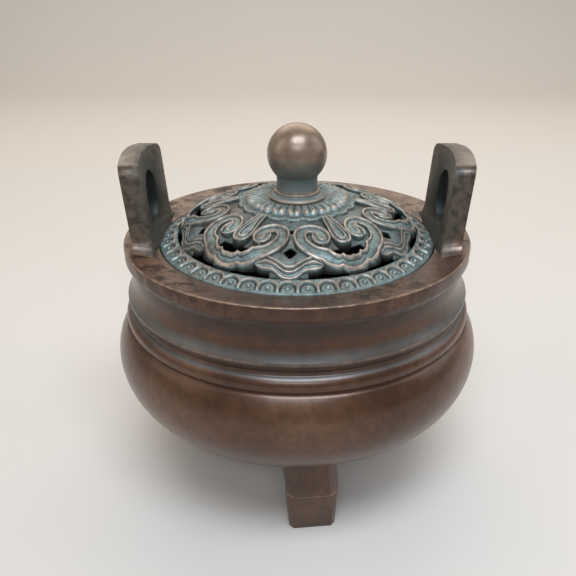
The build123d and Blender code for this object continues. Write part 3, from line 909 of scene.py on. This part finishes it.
def make_brackets(settings):
    """Cloud brackets at the border: three raised lines meeting in a point each side."""
    half = ribbon("cloud_brackets", BRACKET, (0, 0.55, 1), 1.7 * MM, lift=-0.2 * MM, share=0.92)
    repeat(half, settings.cloud_count, True)
    return finish_ornament(half, "lid_plate")


def make_tongues(settings):
    """Tongue petals between the scrolls: a double outline round a lower middle."""
    outer = [on_tongue(*point) for point in TONGUE_OUTER]
    inner = [on_tongue(*point) for point in TONGUE_INNER]
    spine = [on_tongue(distance, 0.0) for distance, _ in TONGUE_INNER]
    edge = ribbon("tongue_edge", ((outer, inner, 34),), (0, 1), 2.7 * MM, end_cap=False, lift=0.2 * MM)
    middle = ribbon("tongue_middle", ((inner, spine, 34),), (), 1.4 * MM, end_cap=False, lift=0.1 * MM)
    both = join("tongue_petals", [edge, middle])
    repeat(both, settings.cloud_count, True)
    return finish_ornament(both, "lid_plate")


def ground_open(x, y):
    """True where the ground plate is pierced; plan position in rim radii, half a unit."""
    radius, turn = math.hypot(x, y), math.degrees(math.atan2(x, y))
    kite = 0.532 < y < 0.615 and x < 0.037 * min((y - 0.532) / 0.042, (0.615 - y) / 0.041)
    slot = 0.560 < radius < 0.622 and turn > 20.5
    eye = math.hypot(x, (y - 0.430) * 0.7) < 0.016
    side = math.hypot(x - 0.151, y - 0.382) < 0.017
    slit = radius > 0.652 and 8.5 < turn < 26.5
    return kite or slot or eye or side or slit


def ground_depth(x, y):
    """Depth of the ground below the scrolls, in mm; it falls to the kite-shaped hole."""
    valley = max(0.0, 1 - max(0.0, x) / 0.07) * max(0.0, 1 - abs(y - 0.575) / 0.085)
    round_slot = max(0.0, 1 - abs(math.hypot(x, y) - 0.575) / 0.08) * max(0.0, min(1.0, (x / y - 0.30) / 0.1))
    return 1.0 + 1.5 * valley + 1.3 * round_slot


def make_ground(settings):
    """Pierced ground plate below the scrolls."""
    inner, outer, rows, columns = 0.315, 0.694, 48, 40
    vertices, relief, keep = [], [], []
    for i in range(rows + 1):
        radius = inner + (outer - inner) * i / rows
        for k in range(columns + 1):
            turn = math.radians(30 * k / columns)
            x, y = radius * math.sin(turn), radius * math.cos(turn)
            p = plan(x, y)
            vertices.append((p.x, p.y, dome_height(p.length) - ground_depth(x, y) * MM))
            valley = max(0.0, 1 - x / 0.10) * (1 if y < 0.66 else 0)
            relief.append(0.33 + 0.16 * valley + 0.06 * noise.noise(Vector((x * 60, y * 60, 0))))
    for i in range(rows):
        for k in range(columns):
            radius = inner + (outer - inner) * (i + 0.5) / rows
            turn = math.radians(30 * (k + 0.5) / columns)
            if not ground_open(radius * math.sin(turn), radius * math.cos(turn)):
                a = i * (columns + 1) + k
                keep.append((a, a + 1, a + columns + 2, a + columns + 1))
    ground = new_object("cloud_ground", vertices, keep, {"relief": relief})
    work = bmesh.new()
    work.from_mesh(ground.data)
    bmesh.ops.delete(work, geom=[v for v in work.verts if not v.link_faces], context="VERTS")
    border = {v for e in work.edges if e.is_boundary for v in e.verts}
    free = []
    for v in border:
        turn = math.degrees(math.atan2(-v.co.y, v.co.x))
        radius = math.hypot(v.co.x, v.co.y) / UNIT
        if 0.1 < turn < 29.9 and inner + 0.002 < radius < outer - 0.002:
            free.append(v)
    for _ in range(3):
        moved = {}
        for v in free:
            beside = [e.other_vert(v).co for e in v.link_edges if e.is_boundary]
            if len(beside) == 2:
                moved[v] = (v.co + (beside[0] + beside[1]) / 2) / 2
        for v, co in moved.items():
            v.co = co
    work.to_mesh(ground.data)
    work.free()
    repeat(ground, settings.cloud_count, True)
    solid = ground.modifiers.new("thick", "SOLIDIFY")
    solid.thickness = 1.0 * MM
    solid.offset = -1
    apply_modifiers(ground)
    return finish_piece(ground, "lid", "lid_bronze", material("lid_grey_patina"), "lid_plate")


def border_relief(across, radius, pitch):
    """Height in mm and relief tone of the border at a place across one scallop, radius in mm."""
    centre, reach = 39.5, 2.35
    half = pitch / 2
    if radius < centre:
        d = (math.hypot(across / half, (radius - centre) / reach) - 1) * reach
    else:
        d = abs(across) - half
    legs = 1.0 if radius < 40.35 else max(0.0, 1 - ((radius - 40.35) / 0.45) ** 2) ** 0.5
    line = math.exp(-(d / 0.30) ** 4) * legs
    groove = math.exp(-((d + 0.62) / 0.2) ** 2) * (1.0 if radius < 40.6 else 0.0)
    spot = math.hypot(across, radius - 39.45)
    bead = math.sqrt(max(0.0, 1 - (spot / 0.50) ** 2))
    ring = math.exp(-((spot - 0.62) / 0.13) ** 2)
    height = 0.45 * line - 0.42 * groove + 0.50 * bead - 0.2 * ring
    tone = 0.52 + 0.42 * line - 0.52 * groove + 0.42 * bead - 0.36 * ring
    if d > 0.5 and radius < 39.0:
        wave = abs(((radius - 0.9 * (half - abs(across))) / 0.62) % 1 - 0.5) * 2
        height += 0.26 * wave - 0.1
        tone = 0.30 + 0.5 * wave
    return height, min(1.0, max(0.0, tone))


def make_border(settings):
    """Scalloped border ring: one arch with its bead, repeated round the lid."""
    count = settings.scallop_count
    turn = math.tau / count
    columns, rows = 22, 30
    slope = RIM_FALL / (LID_RADIUS - BORDER_RADIUS)
    vertices, relief = [], []
    for k in range(columns + 1):
        a = turn * (k / columns - 0.5)
        ring = [(BORDER_RADIUS - 0.25 * MM, LEDGE_HEIGHT + 1.2 * MM, 0.1),
                (BORDER_RADIUS - 0.25 * MM, BORDER_HEIGHT - 0.35 * MM, 0.25)]
        for i in range(rows + 1):
            radius = BORDER_RADIUS + (LID_RADIUS - 0.15 * MM - BORDER_RADIUS) * i / rows
            height, tone = border_relief(a * radius / MM, radius / MM, turn * 39.3)
            top = BORDER_HEIGHT - (radius - BORDER_RADIUS) * slope
            ring.append((radius, top + height * MM, tone))
        ring += [(LID_RADIUS, BORDER_HEIGHT - RIM_FALL - 0.25 * MM, 0.4), (LID_RADIUS, LEDGE_HEIGHT, 0.2),
                 (BORDER_RADIUS - 0.25 * MM, LEDGE_HEIGHT, 0.15)]
        for radius, height, tone in ring:
            vertices.append((radius * math.cos(a), radius * math.sin(a), height))
            relief.append(tone)
    border = new_object("scalloped_border", vertices, ring_faces(columns + 1, len(ring)), {"relief": relief})
    repeat(border, count, False)
    return finish_ornament(border, "lid_plate")


def make_rosette(settings):
    """Ribbed petals round the finial over a scalloped under-layer."""
    count = settings.petal_count
    columns, rows = 22, 34
    first, last = 7.6, 18.1
    vertices, relief = [], []
    for k in range(columns + 1):
        u = 2 * k / columns - 1
        a = math.pi * u / count
        column = []
        tip = 15.5 - 1.2 * u ** 4
        skirt = 17.9 - 0.9 * u * u
        for i in range(rows + 1):
            radius = first + (last - first) * i / rows
            rib = abs(math.sin(math.pi * u)) ** 0.8
            swell = min(1.0, (radius - 8) / 2.5) if radius > 8 else 0.0
            if radius < tip:
                height = (0.05 + 0.68 * rib * swell) * min(1.0, max(0.0, (tip - radius) / 0.7)) ** 0.5
                tone = 0.22 + 0.62 * rib + (0.2 if radius > tip - 1.2 else 0.0)
            elif radius < skirt:
                edge = max(0.0, 1 - abs(skirt - 0.45 - radius) / 0.4)
                height = -0.5 + 0.3 * edge
                tone = 0.40 + 0.5 * edge
            else:
                height, tone = -1.1, 0.1
            seat = max(0.0, min(1.0, 1 - (radius - 8.7) / 3.0))
            column.append((radius, height - 1.1 * seat, min(1.0, tone)))
        column.append((last, -1.9, 0.1))
        column.append((first, -1.9, 0.1))
        for radius, height, tone in column:
            r = radius * MM
            vertices.append((r * math.cos(a), r * math.sin(a), dome_height(r) + height * MM))
            relief.append(tone)
    faces = ring_faces(columns + 1, len(column))
    rosette = new_object("petal_rosette_casting", vertices, faces, {"relief": relief})
    repeat(rosette, count, False)
    return finish_ornament(rosette, "petal_rosette")


# ------------------------------------------------------------------ finial and inside
def make_crown():
    """Plate that carries the rosette, with the bore for the finial's stud and a seat for its washer."""
    bore, seat, under = 2.45, COLLAR_FOOT / MM - 0.08, WASHER_TOP / MM
    top = [(radius, dome_height(radius * MM) / MM - 1.7) for radius in (10, 12, 14, 16, 17.4)]
    inner_sphere = (DOME_SPHERE - DOME_THICKNESS) / MM
    low = [(radius, DOME_CENTRE / MM + math.sqrt(inner_sphere ** 2 - radius ** 2))
           for radius in (17.4, 15, 12, 9, 6.5)]
    profile = [(bore, under), (bore, seat), (9.2, seat)] + top + low + [(6.0, under), (bore, under)]
    crown = lathe("lid_crown_plate", profile, (), 128)
    return finish_piece(crown, "lid", "lid_bronze", material("lid_grey_patina"), "lid_plate")


def make_finial():
    """Turned collar, and the neck with its ball, as two lathed pieces."""
    base, neck = COLLAR_FOOT / MM, NECK_FOOT / MM
    profile = rounded([(2.3, base, 0), (2.3, neck, 0), (6.7, neck, 0.35), (6.9, base + 1.7, 0.25),
                       (7.6, base + 1.5, 0.5), (8.5, base + 0.8, 0.7), (8.1, base, 0.3), (2.3, base, 0)])
    marks = [("wear", 8.3, base + 1.1, 0.7), ("bloom", 7.6, base + 1.5, 2.5), ("wear", 6.6, neck, 0.4)]
    collar = lathe("finial_collar_ring", profile, marks, 128)
    finish_piece(collar, "finial", "finial_bronze", material("finial_brown_bronze"), "finial_collar")
    ball, narrow = BALL_RADIUS / MM, 6.2
    centre = BALL_TOP / MM - ball
    joint = centre - math.sqrt(ball ** 2 - narrow ** 2)
    profile = [(2.05, neck), (6.3, neck)]
    profile += arc((6.4, neck + 0.1), (6.05, (neck + joint) / 2), (narrow, joint), 14)
    first = math.atan2(joint - centre, narrow)
    for i in range(40):
        a = first + (math.pi / 2 - first) * i / 40
        profile.append((ball * math.cos(a), centre + ball * math.sin(a)))
    profile.append((0, centre + ball))
    marks = [("bloom", 7, neck + 3, 9), ("wear", 6.4, neck + 0.1, 0.4)]
    knob = lathe("finial_ball_and_neck", profile, marks, 128)
    return finish_piece(knob, "finial", "finial_bronze", material("finial_brown_bronze"), "finial")


def make_mat():
    """Fibre mat pressed into the bowl's floor, with a soft uneven top."""
    edge, top = 33.7, MAT_TOP / MM - 0.3
    profile = [(edge * i / 24, top) for i in range(23)]
    profile += rounded([(edge * 23 / 24, top, 0), (edge, top, 2.0), (edge, top - 5.9, 0.8),
                        (24, 22.4, 2), (0, 21.0, 0)])
    mat = lathe("heat_fibre_mat", profile, (), 160)
    upper_side, stand_radius, unevenness = 28 * MM, 21 * MM, 0.5 * MM
    for v in mat.data.vertices:
        if v.co.z > upper_side and math.hypot(v.co.x, v.co.y) > stand_radius:
            v.co.z -= unevenness * (0.5 + 0.5 * noise.noise(v.co * 160))
    finish_piece(mat, "bowl", "heat_fibre", material("heat_fibre_mat"), "fibre_mat")
    return mat


def dress_fittings():
    """Finishes for the CAD nodes that keep their own shape."""
    finishes = {"finial_stud": "dulled_brass", "finial_washer": "dulled_brass", "finial_nut": "dulled_brass",
                "stand_dish": "dulled_brass", "stand_prongs": "dulled_brass",
                "incense_coil": "incense_paste", "lid_skirt": "bowl_brown_bronze"}
    for name, key in finishes.items():
        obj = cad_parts[name]
        if not obj.material_slots:
            obj.data.materials.append(material(key))
        for slot in obj.material_slots:
            slot.material = material(key)


# ------------------------------------------------------------------ stage
def make_stage(settings):
    """Pale floor with a curved backdrop, soft lights and the camera."""
    front, back, wide, rise, cove = -1.2, 0.7, 1.6, 0.9, 0.25
    bend = (back + cove * 0.7071, cove * 0.2929)
    outline = [(front, 0.0)] + arc((back, 0.0), bend, (back + cove, cove), 12) + [(back + cove, rise)]
    vertices = [(x, y, z) for y, z in outline for x in (-wide, wide)]
    faces = [(2 * i, 2 * i + 1, 2 * i + 3, 2 * i + 2) for i in range(len(outline) - 1)]
    board = new_object("stage_board", vertices, faces, {})
    board.data.materials.append(material("stage_board"))

    def light(name, place, aim, size, power, tint):
        data = bpy.data.lights.new(name, "AREA")
        data.shape = "RECTANGLE"
        data.size, data.size_y = size
        data.energy = power
        data.color = linear(tint)[:3]
        lamp = link_object(name, data)
        lamp.location = place
        lamp.rotation_euler = (Vector(aim) - Vector(place)).to_track_quat("-Z", "Y").to_euler()

    light("window_overhead", (0.05, -0.30, 0.75), (0, 0, 0.06), (0.5, 0.28), settings.key_power, "e6f1ff")
    light("window_front", (0.0, -0.72, 0.62), (0, 0, 0.06), (0.5, 0.13), settings.key_power * 0.42, "dcecff")
    light("side_left", (-0.75, -0.15, 0.5), (0, 0, 0.06), (0.6, 0.6), settings.key_power * 0.2, "fff4e6")
    light("side_right", (0.7, 0.1, 0.45), (0, 0, 0.06), (0.5, 0.6), settings.key_power * 0.25, "f0f6ff")
    light("from_behind", (0, 0.6, 0.55), (0, 0, 0.08), (0.9, 0.4), settings.key_power * 0.4, "fff1e0")
    light("on_backdrop", (0, 0.5, 0.9), (0, 0.95, 0.25), (1.2, 0.3), settings.key_power * 0.5, "ffeedd")
    world = bpy.data.worlds.new("studio")
    world.use_nodes = True
    world.node_tree.nodes["Background"].inputs[0].default_value = linear("e9e2d8")
    world.node_tree.nodes["Background"].inputs[1].default_value = 0.38
    bpy.context.scene.world = world

    data = bpy.data.cameras.new("camera")
    back_by, above_rim = 3.6056 * UNIT, 1.38375 * UNIT
    data.sensor_width = 36
    data.lens = 40.625
    data.shift_x = -0.0158
    camera = link_object("camera", data)
    camera.location = (0, -back_by, RIM_HEIGHT + above_rim)
    camera.rotation_euler = (math.radians(63.83), 0, 0)
    bpy.context.scene.camera = camera
    bpy.context.scene.view_settings.view_transform = "Standard"


# ------------------------------------------------------------------ add-on
class BurnerSettings(bpy.types.PropertyGroup):
    """Sizes and colours that a user would change."""
    cloud_count: bpy.props.IntProperty(
        name="Cloud scrolls", description="Scroll units round the lid", default=6, min=4, max=8)
    scallop_count: bpy.props.IntProperty(
        name="Scallops", description="Arches round the lid's border", default=48, min=24, max=72)
    petal_count: bpy.props.IntProperty(
        name="Petals", description="Petals round the finial", default=20, min=12, max=30)
    key_power: bpy.props.FloatProperty(
        name="Light", description="Power of the overhead light", default=5.0, min=0.0, unit="POWER")
    floor_colour_hex: bpy.props.StringProperty(
        name="Floor colour", description="sRGB hex colour of the floor", default="cdc8c1")


class BURNER_OT_bowl(bpy.types.Operator):
    """Build the cast bowl."""
    bl_idname = "burner.bowl"
    bl_label = "Bowl"
    bl_options = {"REGISTER", "UNDO"}

    def execute(self, context):
        make_bowl()
        return {"FINISHED"}


class BURNER_OT_ears(bpy.types.Operator):
    """Build both loop ears."""
    bl_idname = "burner.ears"
    bl_label = "Ears"
    bl_options = {"REGISTER", "UNDO"}

    def execute(self, context):
        make_ear(-1, "left_ear_loop")
        make_ear(1, "right_ear_loop")
        return {"FINISHED"}


class BURNER_OT_feet(bpy.types.Operator):
    """Build the three feet."""
    bl_idname = "burner.feet"
    bl_label = "Feet"
    bl_options = {"REGISTER", "UNDO"}

    def execute(self, context):
        for name, degrees in FOOT_DIRECTIONS.items():
            make_foot(name + "_block", math.radians(degrees))
        return {"FINISHED"}


class BURNER_OT_ground(bpy.types.Operator):
    """Build the pierced ground of the lid."""
    bl_idname = "burner.ground"
    bl_label = "Lid ground"
    bl_options = {"REGISTER", "UNDO"}

    def execute(self, context):
        make_ground(context.scene.burner)
        return {"FINISHED"}


class BURNER_OT_scrolls(bpy.types.Operator):
    """Build the cloud scrolls."""
    bl_idname = "burner.scrolls"
    bl_label = "Cloud scrolls"
    bl_options = {"REGISTER", "UNDO"}

    def execute(self, context):
        make_scrolls(context.scene.burner)
        return {"FINISHED"}


class BURNER_OT_brackets(bpy.types.Operator):
    """Build the brackets at the border."""
    bl_idname = "burner.brackets"
    bl_label = "Cloud brackets"
    bl_options = {"REGISTER", "UNDO"}

    def execute(self, context):
        make_brackets(context.scene.burner)
        return {"FINISHED"}


class BURNER_OT_tongues(bpy.types.Operator):
    """Build the tongue petals."""
    bl_idname = "burner.tongues"
    bl_label = "Tongue petals"
    bl_options = {"REGISTER", "UNDO"}

    def execute(self, context):
        make_tongues(context.scene.burner)
        return {"FINISHED"}


class BURNER_OT_border(bpy.types.Operator):
    """Build the scalloped border."""
    bl_idname = "burner.border"
    bl_label = "Border"
    bl_options = {"REGISTER", "UNDO"}

    def execute(self, context):
        make_border(context.scene.burner)
        return {"FINISHED"}


class BURNER_OT_rosette(bpy.types.Operator):
    """Build the petals round the finial."""
    bl_idname = "burner.rosette"
    bl_label = "Rosette"
    bl_options = {"REGISTER", "UNDO"}

    def execute(self, context):
        make_rosette(context.scene.burner)
        return {"FINISHED"}


class BURNER_OT_crown(bpy.types.Operator):
    """Build the plate under the rosette."""
    bl_idname = "burner.crown"
    bl_label = "Lid crown"
    bl_options = {"REGISTER", "UNDO"}

    def execute(self, context):
        make_crown()
        return {"FINISHED"}


class BURNER_OT_finial(bpy.types.Operator):
    """Build the collar, neck and ball."""
    bl_idname = "burner.finial"
    bl_label = "Finial"
    bl_options = {"REGISTER", "UNDO"}

    def execute(self, context):
        make_finial()
        return {"FINISHED"}


class BURNER_OT_mat(bpy.types.Operator):
    """Build the heat-proof mat."""
    bl_idname = "burner.mat"
    bl_label = "Fibre mat"
    bl_options = {"REGISTER", "UNDO"}

    def execute(self, context):
        make_mat()
        return {"FINISHED"}


class BURNER_OT_fittings(bpy.types.Operator):
    """Finish the small fittings."""
    bl_idname = "burner.fittings"
    bl_label = "Fittings"
    bl_options = {"REGISTER", "UNDO"}

    def execute(self, context):
        dress_fittings()
        return {"FINISHED"}


class BURNER_OT_stage(bpy.types.Operator):
    """Build the floor, lights and camera."""
    bl_idname = "burner.stage"
    bl_label = "Stage"
    bl_options = {"REGISTER", "UNDO"}

    def execute(self, context):
        make_stage(context.scene.burner)
        return {"FINISHED"}


OPERATORS = (
    BURNER_OT_bowl, BURNER_OT_ears, BURNER_OT_feet, BURNER_OT_ground,
    BURNER_OT_scrolls, BURNER_OT_brackets, BURNER_OT_tongues, BURNER_OT_border,
    BURNER_OT_rosette, BURNER_OT_crown, BURNER_OT_finial, BURNER_OT_mat,
    BURNER_OT_fittings, BURNER_OT_stage,
)


class BURNER_PT_panel(bpy.types.Panel):
    """Lists the burner's pieces and settings."""
    bl_idname = "BURNER_PT_panel"
    bl_label = "Incense burner"
    bl_space_type = "VIEW_3D"
    bl_region_type = "UI"
    bl_category = "Burner"

    def draw(self, context):
        for key in BurnerSettings.__annotations__:
            self.layout.prop(context.scene.burner, key)
        for made in OPERATORS:
            self.layout.operator(made.bl_idname)


CLASSES = (BurnerSettings, *OPERATORS, BURNER_PT_panel)


def register():
    for made in CLASSES:
        bpy.utils.register_class(made)
    bpy.types.Scene.burner = bpy.props.PointerProperty(type=BurnerSettings)


def unregister():
    del bpy.types.Scene.burner
    for made in reversed(CLASSES):
        bpy.utils.unregister_class(made)


def main():
    register()
    for made in OPERATORS:
        getattr(bpy.ops.burner, made.bl_idname.split(".")[1])()


if __name__ == "__main__":
    main()
